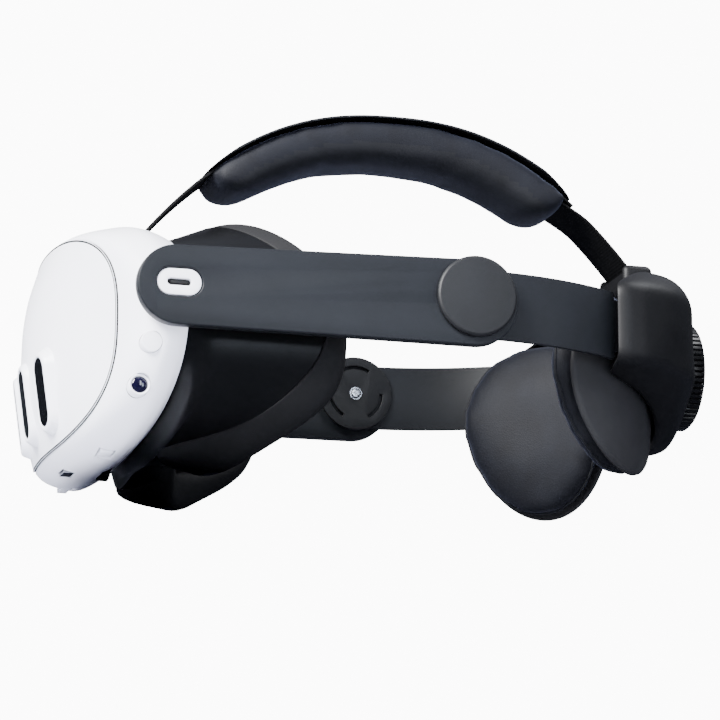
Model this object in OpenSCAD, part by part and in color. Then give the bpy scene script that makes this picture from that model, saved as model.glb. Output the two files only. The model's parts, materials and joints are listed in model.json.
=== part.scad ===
// Standalone head-mounted display with a rigid rear strap, two slotted bands, a rear dial and a top pad.
// +X is the wearer's left, -Y is forward, +Z is up. Lengths are in millimetres.
// Every module is drawn around the line that joins the two side pivots; place() lowers that line
// onto the origin of the part, which is the middle of its footprint.

/* [Visor] */
// Half width of the white shell at its widest ring
visor_half_w = 84; // [82:0.5:86]
// Half height of the white shell at its widest ring
visor_half_h = 46; // [45:0.5:47]
// Distance from the pivot line forward to the tip of the cover
cover_reach = 153.2; // [152:0.2:154]
// Wall thickness of the white shells
shell_wall = 2; // [1.6:0.1:2.4]
// Spacing of the three sensor windows
window_pitch = 23.5; // [22:0.5:25]
// Height of a sensor window
window_h = 26.4; // [24:0.2:28]
// Width of a sensor window
window_w = 9.2; // [8:0.2:10]
// Outer radius of a lens barrel
barrel_r = 21; // [20:0.5:22]
// Half of the distance between the lens axes
half_ipd = 32; // [31:0.5:33]

/* [Arms and bands] */
// Height of a side arm at its front end
arm_front_h = 29.8; // [29:0.2:31]
// Height of a side arm at the pivot
arm_back_h = 32.8; // [32:0.2:34]
// Thickness of a side arm
arm_t = 5; // [4.5:0.1:6]
// Distance from the middle plane to the outside of an arm at the pivot
arm_out = 88.5; // [88:0.5:90]
// Diameter of the round cap over a pivot
cap_d = 30.8; // [29:0.2:32]
// Radius of the pivot pin
pin_r = 2.6; // [2.2:0.1:3]
// Height of a rear band
band_h = 26.2; // [25:0.2:27]
// Thickness of a rear band
band_t = 2.2; // [1.8:0.1:2.4]
// Radius of the curve of a rear band in plan
band_curve_r = 115; // [112:1:120]

/* [Rear housing] */
// Distance from the pivot line back to the face of the dial
back_reach = 116.7; // [116:0.1:118]
// Half width of the housing across the two band slots
housing_half_w = 73; // [72.5:0.5:75]
// Radius of the dial
dial_r = 21.6; // [20:0.2:22]
// Pitch radius of the dial's pinion
pinion_r = 6; // [6:1:6]
// Radius of the back plate around the head
plate_r = 66; // [65:0.5:67]

/* [Top strap] */
// Height of the strap's crown above the pivot line
crown_h = 90.3; // [88:0.1:92]
// Width of the strap
strap_w = 25; // [22:0.5:27]
// Width of the top cushion
pad_w = 36; // [32:0.5:38]
// Thickness of the top cushion
pad_t = 11.4; // [9:0.2:12]

/* [Face interface] */
// Half width of the face opening's soft rim
face_half_w = 73; // [70:0.5:74]
// Half height of the soft rim below the lens axis
rim_below = 50; // [48:0.5:51]

/* [Hidden] */

$fn = 48;
ring_points = 40;
gap = 0.3;
lens_z = -9;
window_face_y = -153.05;
window_tilt = 8;
window_rim = 1.7;
rim_stand = 0.5;
rim_reach = (window_h / 2 + window_rim) * sin(window_tilt) + rim_stand * cos(window_tilt);
front_reach = rim_reach - window_face_y;
y_centre = (front_reach - back_reach) / 2;

white = [0.93, 0.94, 0.96];
charcoal = [0.20, 0.21, 0.23];
black = [0.07, 0.07, 0.08];
fabric_blue = [0.13, 0.14, 0.18];
steel = [0.75, 0.76, 0.78];
board_green = [0.05, 0.25, 0.15];

// ---------- helpers ----------
module place() translate([0, y_centre, pivot_height]) children();

// Signed power, for superellipse rings.
function spow(v, p) = sign(v) * pow(abs(v), p);

// One ring of the visor: y at the middle plane, half width, half height, centre height,
// squareness and how far the ring bends back at its sides.
function ring(y, a, b, z0, n, sag) = [
  for (i = [0 : ring_points - 1])
    let (t = 360 * i / ring_points, x = a * spow(cos(t), 2 / n), z = b * spow(sin(t), 2 / n))
    [x, y + sag * pow(x / a, 2), z0 + z]
];

function mean_point(pts) = [for (k = [0 : 2]) [for (p = pts) p[k]] * [for (p = pts) 1] / len(pts)];

function flatten(lists) = [for (l = lists) for (p = l) p];

// Side faces between ring i and the next one, both split along the same diagonal.
function wall_faces(count, n, last_to_first) = [
  for (i = [0 : count - (last_to_first ? 1 : 2)])
    for (j = [0 : n - 1])
      let (a = i * n + j, b = i * n + (j + 1) % n, k = ((i + 1) % count) * n)
      let (c = k + (j + 1) % n, d = k + j)
      for (f = [[a, b, c], [a, c, d]]) f
];

// Closed solid through a list of rings, each end closed around its own middle point.
module skin(rings) {
  n = len(rings[0]);
  m = len(rings);
  pts = concat(flatten(rings), [mean_point(rings[0]), mean_point(rings[m - 1])]);
  caps = [
    for (j = [0 : n - 1])
      for (f = [[m * n, (j + 1) % n, j], [m * n + 1, (m - 1) * n + j, (m - 1) * n + (j + 1) % n]]) f
  ];
  polyhedron(pts, concat(wall_faces(m, n, false), caps), convexity = 6);
}

// Ring-shaped solid: the rings run round the wall's section and close on the first one.
module hollow_skin(rings) {
  polyhedron(flatten(rings), wall_faces(len(rings), len(rings[0]), true), convexity = 8);
}

// Upright pill outline, exact arcs.
module pill(w, h) {
  square([w, h - w], center = true);
  for (s = [-1, 1]) translate([0, s * (h - w) / 2]) circle(d = w);
}

// Extrudes an X-Z outline forward from y.
module forward(y, depth) translate([0, y, 0]) rotate([90, 0, 0]) linear_extrude(depth) children();

// Extrudes a Y-Z outline sideways from x.
module sideways(x, depth) translate([x, 0, 0]) rotate([90, 0, 90]) linear_extrude(depth) children();

// Cylinder along X or Y from its low end.
module rod_x(x, y, z, r, l) translate([x, y, z]) rotate([0, 90, 0]) cylinder(r = r, h = l);
module rod_y(x, y, z, r, l) translate([x, y, z]) rotate([-90, 0, 0]) cylinder(r = r, h = l);

// Left piece as drawn, right piece mirrored.
module on_side(side) if (side > 0) children(); else mirror([1, 0, 0]) children();

// ---------- white visor ----------
seam_y = -144.6;
// y, half width, half height, centre height, squareness, sag; from the seam back to the rear edge
shell_rings = [
  [seam_y, visor_half_w - 14, visor_half_h - 5.2, -12.2, 2.8, 13.5],
  [-141, visor_half_w - 8, visor_half_h - 3.2, -12.5, 2.7, 12.6],
  [-135, visor_half_w - 3, visor_half_h - 1.4, -12.7, 2.6, 11],
  [-126, visor_half_w, visor_half_h, -12.4, 2.5, 8.5],
  [-118, visor_half_w - 0.8, visor_half_h - 2.4, -10.8, 2.4, 6],
  [-113, visor_half_w - 3, visor_half_h - 6, -9, 2.35, 5]
];
// The cover, from its tip back to the seam
cover_rings = [
  [-cover_reach, visor_half_w - 74, visor_half_h - 41, -13, 2, 0.5],
  [-152.5, visor_half_w - 57, visor_half_h - 31, -13, 2.2, 3.5],
  [-150.7, visor_half_w - 40, visor_half_h - 21, -12.8, 2.4, 7.5],
  [-148, visor_half_w - 25, visor_half_h - 12.4, -12.5, 2.6, 11.2],
  [seam_y - gap, visor_half_w - 14.4, visor_half_h - 5.6, -12.2, 2.8, 13.5]
];
function shell_ring(r, wall, back) = ring(r[0] + back, r[1] - wall, r[2] - wall, r[3], r[4], r[5]);

window_z = -31.2;
function window_sag(x) = 2.1 * pow(x / window_pitch, 2);

// Places a window-shaped cut or glass: face is how far its front stands ahead of the glass plane.
module at_window(i, face, depth) {
  translate([i * window_pitch, window_face_y + window_sag(i * window_pitch), window_z])
    rotate([window_tilt, 0, 0]) forward(-face, depth) children();
}

// Outer skin of the cover and, moved back and in by one wall, the hollow behind it.
module cover_form(wall) skin([
  for (k = [0 : 4]) shell_ring(cover_rings[k], k == 4 ? wall * 0.8 : wall, wall)
]);

module front_cover() color(white) difference() {
  union() {
    difference() {
      cover_form(0);
      cover_form(shell_wall);
    }
    for (i = [-1 : 1]) at_window(i, -5.4, 5.4 + rim_stand)
      pill(window_w + 2 * window_rim, window_h + 2 * window_rim);
  }
  for (i = [-1 : 1]) at_window(i, -8, 12) pill(window_w, window_h);
}

module window_glass(i) color(black) at_window(i, -3, 3) pill(window_w - 0.2, window_h - 0.2);
module window_left() window_glass(1);
module window_middle() window_glass(0);
module window_right() window_glass(-1);

// Two camera cells behind each outer window and a depth projector behind the middle one.
module front_cameras() color(charcoal) {
  for (i = [-1 : 1]) for (s = [-1, 1])
    translate([i * window_pitch, window_face_y + window_sag(i * window_pitch), window_z])
      rotate([window_tilt, 0, 0]) translate([0, 3.3, s * 6.6]) {
        rod_y(0, 0, 0, 3.4, 2.6);
        translate([-3.6, 2.6, -3.6]) cube([7.2, 2.4, 7.2]);
      }
}

cam_y = -124.3;
cam_z = -38;
button_y = -121.7;
button_z = -23.4;

module front_shell() color(white) difference() {
  hollow_skin(concat(
    [for (r = shell_rings) shell_ring(r, 0, 0)],
    [for (k = [5 : -1 : 0]) shell_ring(shell_rings[k], shell_wall, 0)]
  ));
  for (s = [-1, 1]) {
    rod_x(s > 0 ? 60 : -100, cam_y, cam_z, 4.2, 40);
    rod_x(s > 0 ? 66 : -100, button_y, button_z, 4.1, 34);
    translate([s > 0 ? 72 : -92, -124, -11]) cube([20, 20, 15.6]);
  }
  // slot of the wheel, power button and volume rocker under the shell
  translate([-10, -124, -62]) cube([20, 4.6, 17]);
  translate([30.5, -131.5, -62]) cube([9, 6, 24]);
  translate([-45.5, -131.4, -62]) cube([21, 4.5, 24]);
  translate([-4.5, -138.5, -62]) cube([9, 5, 12]);
  // slot of the top strap
  translate([-strap_w / 2 - 1, -121, 24]) cube([strap_w + 2, 9, 14]);
  rod_x(-strap_w / 2 - 2.7, loop_y, loop_z, 1.3, strap_w + 5.4);
  for (s = [-1, 1]) translate([s * (strap_w / 2 + 1.7) - 1.1, -118.1, 31.5]) cube([2.2, 4.2, 3.2]);
}

module side_camera(side) on_side(side) color(black) {
  rod_x(66, cam_y, cam_z, 3.9, 9.6);
  translate([64, cam_y - 3.5, cam_z - 3.5]) cube([2, 7, 7]);
}
module side_camera_left() side_camera(1);
module side_camera_right() side_camera(-1);
module side_caps() color(white) for (s = [-1, 1]) rod_x(s > 0 ? 77.6 : -82.8, button_y, button_z, 3.9, 5.2);

// ---------- inside the visor ----------
frame_y = -131;
module frame_outline(grow) {
  polygon([for (p = ring(0, 67 + grow, 38.5 + grow, -11.5, 2.5, 0)) [p[0], p[2]]]);
}
module mid_frame() color(charcoal) difference() {
  forward(frame_y + 2, 2) frame_outline(0);
  for (s = [-1, 1]) for (d = [-3, 3]) rod_y(s * half_ipd + d, frame_y - 1, lens_z, barrel_r + 0.8, 4);
  for (s = [-1, 1]) translate([s * half_ipd - 3, frame_y - 1, lens_z - barrel_r - 0.8])
    cube([6, 4, 2 * barrel_r + 1.6]);
  for (s = [-1, 1]) rod_y(s * 59, frame_y - 1, 6, 1.2, 4);
  for (s = [-1, 1]) rod_y(s * 59, frame_y - 1, -30, 1.2, 4);
  translate([-10, frame_y - 1, -52]) cube([20, 4, 14]);
  translate([26, frame_y - 1, -52]) cube([12, 4, 20]);
  translate([-38, frame_y - 1, -52]) cube([12, 4, 20]);
}
module frame_screws() color(steel) for (s = [-1, 1]) for (z = [6, -30]) {
  rod_y(s * 59, frame_y + 0.1, z, 1.1, 1.9);
  rod_y(s * 59, frame_y + 2, z, 2.2, 1.2);
}
module mainboard() color(board_green) difference() {
  translate([-38, -140.4, -34]) cube([76, 1.2, 42]);
  rod_y(0, -141, 2, 3, 3);
}
module heat_sink() color(steel) {
  translate([-21, -142, -14]) cube([42, 1.5, 21]);
  for (i = [0 : 8]) translate([-21 + i * 5.1, -146.5, -14]) cube([1.2, 4.5, 21]);
}
fan_z = 12;
module fan_housing() color(black) difference() {
  translate([-10.6, -138.8, fan_z - 11.6]) cube([21.2, 4.4, 23.6]);
  rod_y(0, -138, fan_z, 9.6, 8);
  rod_y(0, -139.2, fan_z, 6, 2);
}
module fan_rotor() color(charcoal) {
  rod_y(0, -137.6, fan_z, 3.8, 2.8);
  for (i = [0 : 8]) translate([0, -137.6, fan_z]) rotate([0, 40 * i, 0])
    translate([3.4, 0, -0.4]) cube([5.6, 2.6, 0.8]);
}
module visor_battery() color(charcoal) translate([-38, -128.2, 12.8]) cube([76, 9, 7.2]);

lens_y = -96;
module barrel(side) on_side(side) color(charcoal) {
  difference() {
    rod_y(half_ipd, -134, lens_z, barrel_r, 40);
    rod_y(half_ipd, -133, lens_z, barrel_r - 2, 40);
    rod_y(half_ipd, -140, lens_z, barrel_r - 5, 20);
    rod_y(half_ipd, lens_y - 4.2, lens_z, barrel_r - 1.2, 5);
  }
}
rack_pitch = 0.8 * PI;
// Straight toothed edge: count teeth standing up from z.
module teeth(count, pitch, height, wide, depth) {
  for (i = [0 : count - 1]) translate([(i - (count - 1) / 2) * pitch, 0, 0])
    rotate([90, 0, 0]) linear_extrude(depth)
      polygon([[-wide / 2, -0.3], [wide / 2, -0.3], [wide / 4, height], [-wide / 4, height]]);
}
wheel_z = -48;
wheel_pinion_r = 3.2;
module barrel_left() barrel(1);
module barrel_right() barrel(-1);
// Upper rack: a bar over the pinion with teeth pointing down, and the post that holds it to the barrel.
module eye_rack_left() color(charcoal) {
  translate([0, -124, wheel_z + wheel_pinion_r + 0.9]) {
    translate([-8, -3, 0]) cube([half_ipd + 12, 3, 1.6]);
    mirror([0, 0, 1]) teeth(5, rack_pitch, 1.5, 1.15, 3);
  }
  difference() {
    translate([half_ipd - 4, -127, wheel_z + wheel_pinion_r + 0.9]) cube([8, 3, 15]);
    rod_y(half_ipd, -134, lens_z, barrel_r, 40);
  }
}
// Lower rack: the same under the pinion, with teeth pointing up.
module eye_rack_right() color(charcoal) {
  translate([0, -124, wheel_z - wheel_pinion_r - 0.9]) {
    translate([-half_ipd - 1, -3, -1.6]) cube([half_ipd + 9, 3, 1.6]);
    teeth(5, rack_pitch, 1.5, 1.15, 3);
  }
  difference() {
    translate([-half_ipd - 1, -127, wheel_z - wheel_pinion_r - 2.5]) cube([5, 3, 25]);
    rod_y(-half_ipd, -134, lens_z, barrel_r, 40);
  }
}
module display(side) on_side(side) color(black)
  translate([half_ipd - 18, -135.6, lens_z - 18]) cube([36, 1.4, 36]);
module display_left() display(1);
module display_right() display(-1);
module lens(side) on_side(side) color([0.8, 0.85, 0.9, 0.4])
  rod_y(half_ipd, lens_y - 4, lens_z, barrel_r - 1.4, 4);
module lens_left() lens(1);
module lens_right() lens(-1);

// Wheel and its pinion on one short shaft; the teeth stand between the two racks.
module gear(r, module_mm, depth, root, tip, wide) {
  n = round(2 * r / module_mm);
  rotate([90, 0, 0]) linear_extrude(depth) {
    circle(r = root);
    for (i = [0 : n - 1]) rotate(90 + 360 * (i + 0.5) / n)
      polygon([[root - 0.4, -wide / 2], [tip, -wide / 4], [tip, wide / 4], [root - 0.4, wide / 2]]);
  }
}
module ipd_wheel() color(black) translate([0, 0, wheel_z]) {
  translate([0, -124, 0]) gear(wheel_pinion_r, 0.8, 3, 2.1, 3.9, 1.1);
  difference() {
    rod_y(0, -123.4, 0, 11, 3.2);
    for (i = [0 : 29]) rotate([0, 12 * i, 0]) rod_y(11.2, -124, 0, 0.55, 5);
  }
  rod_y(0, -124.1, 0, 1.6, 2);
}
module power_button() color(white) {
  translate([31, -131, -56.2]) cube([8, 5, 4.2]);
  translate([32.5, -130, -52]) cube([5, 3, 4]);
}
module volume_rocker() color(white) {
  translate([-45, -131, -55.6]) cube([20, 3.7, 4]);
  rod_y(-35, -131, -52, 1.5, 3.7);
}
module charge_contacts() color(steel) {
  translate([-4, -138, -57.4]) cube([8, 4, 2]);
}
loop_y = -116;
loop_z = 33.5;
module strap_loop() color(black) {
  rod_x(-strap_w / 2 - 2.5, loop_y, loop_z, 1.2, strap_w + 5);
  for (s = [-1, 1]) translate([s * (strap_w / 2 + 1.7) - 1, -118, 31.6]) cube([2, 4, 3]);
}

// ---------- ports and arms ----------
port_y = -113.4;
port_z = -2.4;
module port_outline(grow) translate([port_y, port_z]) rotate(90) pill(9.9 + grow, 16.6 + grow);
module left_port_insert() color(white) difference() {
  sideways(79, 11.6) port_outline(0);
  sideways(82, 10) translate([port_y, port_z]) rotate(90) pill(2.6, 8.94);
}
module right_port_insert() color(white) difference() {
  sideways(-90.6, 11.6) port_outline(0);
  rod_x(-91, port_y, port_z, 1.8, 10.5);
}
arm_front_y = -114.1;
arm_front_z = -3.4;
arm_back_z = -1.9;
arm_lean = 3;
// Plan of the arm: a straight bar that leans out towards the front.
module arm_plan(x_out, t) polygon([
  [x_out + arm_lean, -135], [x_out, 25], [x_out - t, 25], [x_out + arm_lean - t, -135]
]);
// Side outline of an arm: two round ends and the straight edges that touch both.
module arm_side() {
  r0 = arm_front_h / 2;
  r1 = arm_back_h / 2;
  run = norm([arm_front_y, arm_front_z - arm_back_z]);
  spread = asin((r1 - r0) / run);
  lean = atan((arm_back_z - arm_front_z) / -arm_front_y);
  translate([arm_front_y, arm_front_z]) circle(r = r0, $fn = 96);
  translate([0, arm_back_z]) circle(r = r1, $fn = 96);
  translate([arm_front_y, arm_front_z]) rotate(lean) polygon([
    r0 * [-sin(spread), cos(spread)], [run, 0] + r1 * [-sin(spread), cos(spread)],
    [run, 0] + r1 * [-sin(spread), -cos(spread)], r0 * [-sin(spread), -cos(spread)]
  ]);
}
module arm(side) on_side(side) color(charcoal) difference() {
  union() {
    intersection() {
      translate([0, 0, -30]) linear_extrude(60) arm_plan(arm_out, arm_t);
      sideways(70, 40) arm_side();
    }
    // root that stands in the shell's side opening
    translate([80.5, -123.6, -10.6]) cube([7, 19.2, 14.8]);
  }
  sideways(70, 40) port_outline(0.7);
  rod_x(70, 0, 0, pin_r + 0.1, 40);
  // pocket for the speaker, open to the head
  translate([80, -96, -13]) cube([6.8, 60, 22]);
}
module arm_left() arm(1);
module arm_right() arm(-1);
module arm_liner(side) on_side(side) color(black) difference() {
  intersection() {
    translate([0, 0, -16]) linear_extrude(28) arm_plan(arm_out - arm_t - 0.1, 1.1);
    translate([80, -99, -20]) cube([10, 66, 40]);
  }
  for (i = [0 : 5]) rod_x(80, -60 + i * 4, -2, 0.9, 8);
}
module arm_liner_left() arm_liner(1);
module arm_liner_right() arm_liner(-1);
module speaker(side) on_side(side) color(black) translate([85.4, -72, -9]) cube([1.2, 30, 14]);
module speaker_left() speaker(1);
module speaker_right() speaker(-1);

// ---------- pivots ----------
module pivot_pin(side) on_side(side) color(steel) {
  rod_x(78.3, 0, 0, pin_r, 11);
  rod_x(77.7, 0, 0, 1.9, 0.6);
}
module pivot_pin_left() pivot_pin(1);
module pivot_pin_right() pivot_pin(-1);
module pivot_cap(side) on_side(side) color(charcoal) translate([arm_out + 0.9, 0, 0]) rotate([0, 90, 0]) {
  cylinder(d = cap_d, h = 1.4, $fn = 96);
  translate([0, 0, 1.4]) cylinder(d1 = cap_d, d2 = cap_d - 1.6, h = 0.8, $fn = 96);
}
module pivot_cap_left() pivot_cap(1);
module pivot_cap_right() pivot_cap(-1);
module inner_disc(side) on_side(side) color(charcoal) difference() {
  rod_x(78.3, 0, 0, 15.3, 1.4);
  rod_x(78, 0, 0, pin_r + 0.06, 4);
  // three arc slots around the pin
  for (i = [0 : 2]) rotate([120 * i + 90, 0, 0]) sideways(77, 4) intersection() {
    difference() {
      circle(r = 11.6);
      circle(r = 10.2);
    }
    polygon([[0, 0], [20, 12], [20, -12]]);
  }
}
module inner_disc_left() inner_disc(1);
module inner_disc_right() inner_disc(-1);

// ---------- rear bands ----------
band_out = 83;
band_end_y = 76;
band_z = -0.9;
module band(side) on_side(side) color(charcoal) difference() {
  intersection() {
    translate([0, 0, -20]) linear_extrude(40) intersection() {
      union() {
        difference() {
          translate([band_out - band_curve_r, 0]) circle(r = band_curve_r, $fn = 180);
          translate([band_out - band_curve_r, 0]) circle(r = band_curve_r - band_t, $fn = 180);
        }
        translate([band_out - band_t, -15]) square([band_t, 15]);
      }
      translate([0, -15]) square([100, band_end_y + 15]);
    }
    sideways(40, 60) {
      translate([0, band_z]) circle(r = band_h / 2, $fn = 96);
      translate([0, band_z - band_h / 2]) square([63, band_h]);
      translate([60, band_z - 10]) square([band_end_y - 60, 20]);
    }
  }
  rod_x(60, 0, 0, pin_r + 0.06, 40);
}
module band_left() band(1);
module band_right() band(-1);

// ---------- rear housing ----------
dial_z = -3.8;
head_y = 30;
housing_back = 107;
slot_y = 62;
// Upper and lower edge of the housing across its width, u from the middle plane to the slot.
function housing_top(u) = 15.6 + 17.8 * pow(cos(90 * u), 0.8);
function housing_bottom(u) = 18.4 + 17.2 * pow(cos(90 * u), 1.4);
// Front edge: ahead of the back plate at the top, along the plate below, level at the slots.
function housing_front(x, top) = max(slot_y, top
  ? 88 - 26 * pow(x / 70, 2)
  : head_y + sqrt(max(0, pow(plate_r + 1.8, 2) - x * x)));
// One ring from the front edge, k = 0, to the back face, k = 1.
function housing_ring(k, w, tall, wall) = [
  for (i = [0 : 35])
    let (t = 10 * i, c = cos(t), u = pow(abs(c), 0.75), fill = pow(abs(sin(t)), 0.09))
    let (front = housing_front(housing_half_w * u, sin(t) >= 0))
    let (half = (sin(t) >= 0 ? housing_top(u) : housing_bottom(u)) * tall * fill)
    let (reach = max(0, half - (abs(half) > wall ? wall : 0)))
    [(w - wall) * sign(c) * u, front + (housing_back - front) * k, sign(sin(t)) * reach]
];
// k, half width, height factor
housing_steps = [
  [0, 1, 1], [0.18, 0.985, 1], [0.36, 0.945, 1], [0.55, 0.856, 0.995],
  [0.72, 0.726, 0.985], [0.86, 0.575, 0.955], [0.96, 0.452, 0.88], [1, 0.37, 0.76]
];
function housing_step(i, wall, back) = let (s = housing_steps[i])
  [for (p = housing_ring(s[0], housing_half_w * s[1], s[2], wall)) p - [0, back, 0]];
collar_h = 38;
module housing_shell() color(charcoal) difference() {
  union() {
    hollow_skin(concat(
      [for (i = [0 : 7]) housing_step(i, 0, 0)],
      [housing_step(7, 1, 2.2), housing_step(6, 2.2, 1.6)],
      [for (i = [5 : -1 : 0]) housing_step(i, 1.8, 0)]
    ));
    translate([-15.5, 84.5, 31]) cube([31, 12.5, collar_h - 31]);
  }
  rod_y(0, 80, dial_z, 4, 40);
  translate([-strap_w / 2 - 1, 86, 20]) cube([strap_w + 2, 10, 30]);
  // mouth of the strap's pocket
  translate([-strap_w / 2 - 1, 82, 34]) cube([strap_w + 2, 6, 20]);
}
base_y = 97;
module housing_base() color(black) difference() {
  translate([-31, base_y, -21]) cube([62, 1.8, 39]);
  rod_y(0, 90, dial_z, 2.1, 12);
  for (s = [-1, 1]) for (z = [12, -17]) rod_y(s * 26, 90, z, 1.1, 12);
  for (s = [-1, 1]) for (z = [4, -16]) rod_y(s * 10, 90, z, 1.3, 12);
  translate([-strap_w / 2 - 1, 90, 14]) cube([strap_w + 2, 12, 14]);
}
module housing_screws() color(steel) for (s = [-1, 1]) for (z = [12, -17]) {
  rod_y(s * 26, base_y, z, 1, 4);
  rod_y(s * 26, base_y - 1, z, 2, 1);
}
dial_front = housing_back + 0.6;
module dial() color(black) translate([0, 0, dial_z]) {
  difference() {
    union() {
      rod_y(0, dial_front, 0, dial_r - 0.8, back_reach - dial_front);
      translate([0, back_reach, 0]) rotate([90, 0, 0]) linear_extrude(back_reach - dial_front)
        for (i = [0 : 35]) rotate(10 * i) translate([dial_r - 1.2, -0.95]) square([1.2, 1.9]);
    }
    rod_y(0, back_reach - 1, 0, dial_r - 6, 2);
  }
  rod_y(0, pinion_y + 0.4, 0, 3.6, dial_front - pinion_y);
}
pinion_y = 103.4;
module dial_pinion() color(steel) translate([0, 0, dial_z]) {
  translate([0, pinion_y, 0]) gear(pinion_r, 1, 4, 4.6, 6.8, 1.5);
  rod_y(0, base_y, 0, 2, 3);
}
module rack(side) color(black) on_side(side)
  translate([0, pinion_y - 0.2, dial_z + side * (pinion_r + 1.1)]) mirror([0, 0, side > 0 ? 1 : 0]) {
    translate([-12, -3.6, -2.4]) cube([38, 3.6, 2.4]);
    teeth(7, PI, 1.9, 1.5, 3.6);
  }
module rack_left() rack(1);
module rack_right() rack(-1);
// Leaf that clicks against the pinion's hub.
module ratchet_spring() color(steel) {
  translate([14, base_y + 1.8, dial_z - 1]) cube([10, 0.4, 3]);
}

// ---------- back plate and cushion ----------
lobe_angle = 48;
// Point on the head cylinder at an angle from straight back.
function around(r, angle, z) = [r * sin(angle), head_y + r * cos(angle), z];
// Egg-shaped lobe outline in angle and height.
function lobe_ring(r, half_angle, half_h, z0, shift, n = 32) = [
  for (i = [0 : n - 1]) let (t = 360 * i / n)
    around(r, lobe_angle + shift + half_angle * cos(t) * (1 + 0.12 * sin(t)), z0 + half_h * sin(t))
];
module lobe(r0, r1, half_angle, half_h, z0, shift) skin([
  lobe_ring(r0, half_angle - 1.2, half_h - 1.2, z0, shift),
  lobe_ring((r0 * 3 + r1) / 4, half_angle, half_h, z0, shift),
  lobe_ring((r0 + r1 * 3) / 4, half_angle, half_h, z0, shift),
  lobe_ring(r1, half_angle - 1.2, half_h - 1.2, z0, shift)
]);
module back_plate() color(charcoal) {
  for (s = [-1, 1]) on_side(s) lobe(plate_r - 2.2, plate_r, 26, 32, -22, 0);
  difference() {
    translate([0, head_y, -26]) rotate([0, 0, 55]) rotate_extrude(angle = 70)
      translate([plate_r - 2.2, 0]) square([2.2, 40]);
    for (s = [-1, 1]) for (z = [4, -16]) rod_y(s * 10, 85, z, 1.4, 20);
  }
}
module plate_screws() color(steel) for (s = [-1, 1]) for (z = [4, -16]) rod_y(s * 10, 92.6, z, 1.2, 6);
module back_cushion() color(fabric_blue) {
  for (s = [-1, 1]) on_side(s) lobe(plate_r - 15, plate_r - 2.8, 31, 35.5, -19, 0);
}

// ---------- top strap ----------
crown_y = -11;
// Height of the strap's upper face at y.
function strap_z(y) = crown_h - 22.2 * pow(abs(y - crown_y) / 69.7, 2.35);
function strap_path(y0, y1, n) = [for (i = [0 : n]) let (y = y0 + (y1 - y0) * i / n) [y, strap_z(y)]];
// Unit normal of the strap's side curve at y.
function strap_normal(y) = let (s = (strap_z(y + 0.1) - strap_z(y - 0.1)) / 0.2) [-s, 1] / sqrt(1 + s * s);
function off_strap(y, d) = [y, strap_z(y)] + d * strap_normal(y);
// Side outline of a layer of the strap between two depths below the upper face.
function strap_layer(y0, y1, d0, d1, n) = concat(
  [for (i = [0 : n]) off_strap(y0 + (y1 - y0) * i / n, -d0)],
  [for (i = [n : -1 : 0]) off_strap(y0 + (y1 - y0) * i / n, -d1)]
);
pad_y0 = -86;
pad_y1 = 64;
strap_end_y = 94;
module strap_band() color(black) {
  difference() {
    union() {
      sideways(-strap_w / 2, strap_w) polygon(strap_layer(-115.5, strap_end_y, 1.4, 3, 40));
      // turn around the visor's loop
      rod_x(-strap_w / 2, loop_y, loop_z, 3.1, strap_w);
    }
    rod_x(-strap_w, loop_y, loop_z, 1.5, strap_w * 2);
  }
}
module top_pad_plate() color(charcoal) {
  sideways(-pad_w / 2, pad_w) polygon(strap_layer(pad_y0, pad_y1, 0, 1.2, 32));
}
function pad_section(y, n = 20) = [
  for (i = [0 : n - 1])
    let (t = 360 * i / n)
    let (end = min(1, pow(max(0.02, min(y - pad_y0, pad_y1 - y)) / 9, 0.5)))
    let (c = off_strap(y, -3.3 - pad_t / 2))
    let (h = (pad_t / 2) * end * spow(sin(t), 0.6))
    let (p = c + h * strap_normal(y))
    [(pad_w / 2 - 0.6) * (0.75 + 0.25 * end) * spow(cos(t), 0.6), p[0], p[1]]
];
pad_stations = [
  pad_y0 + 0.5, pad_y0 + 2, pad_y0 + 5, -72, -58, -43, -28, -13, 2, 17, 32, 45, 55,
  pad_y1 - 5, pad_y1 - 2, pad_y1 - 0.5
];
module top_cushion() color(fabric_blue) skin([for (y = pad_stations) pad_section(y)]);

// ---------- face interface ----------
frame_front_y = -127;
seam_half_w = 75;
// Where the hard frame ends and where the soft rim ends, as a depth along Y at angle t.
function seam_depth(t) = sin(t) > 0 ? -57 - 32 * pow(sin(t), 1.6) : -57 - 40 * pow(-sin(t), 2.3);
function rim_depth(t) = sin(t) > 0 ? -45 - 33 * pow(sin(t), 1.8) : -45 - 46 * pow(-sin(t), 1.9);
// Squareness of the face opening: rounder over the forehead, squarer over the cheeks.
function face_x(t, k = 1) = spow(cos(t), sin(t) > 0 ? 0.85 : 0.86 - 0.14 * k);
function face_z(t, k = 1) = spow(sin(t), sin(t) > 0 ? 1 : 0.86 - 0.14 * k);
function nose(x, z) = z < 0 ? 14 * exp(-pow(x / 15, 2)) : 0;
// Bulge under each cheek.
function cheek(x, z) = z < 0 ? min(1, 1.3 * z * z) * exp(-pow((abs(x) - 40) / 17, 2)) : 0;
function frame_ring(k, wall) = [
  for (i = [0 : ring_points - 1])
    let (t = 360 * i / ring_points, x0 = face_x(t, k), z0 = face_z(t, k))
    let (a = 78.2 + (seam_half_w - 78.2) * k - wall)
    let (up = 37.4 + 10.6 * k - wall, down = 37.4 + 6.6 * k - wall)
    let (front = -113 + 5 * x0 * x0)
    [a * x0, front + (seam_depth(t) - front) * k,
     lens_z + (z0 > 0 ? up : down) * z0 + 0.4 * k * nose(a * x0, z0)]
];
function front_skirt_ring(wall) = [
  for (p = frame_ring(0, wall + 0.6)) p + [0, frame_front_y + 113, 0]
];
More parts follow.
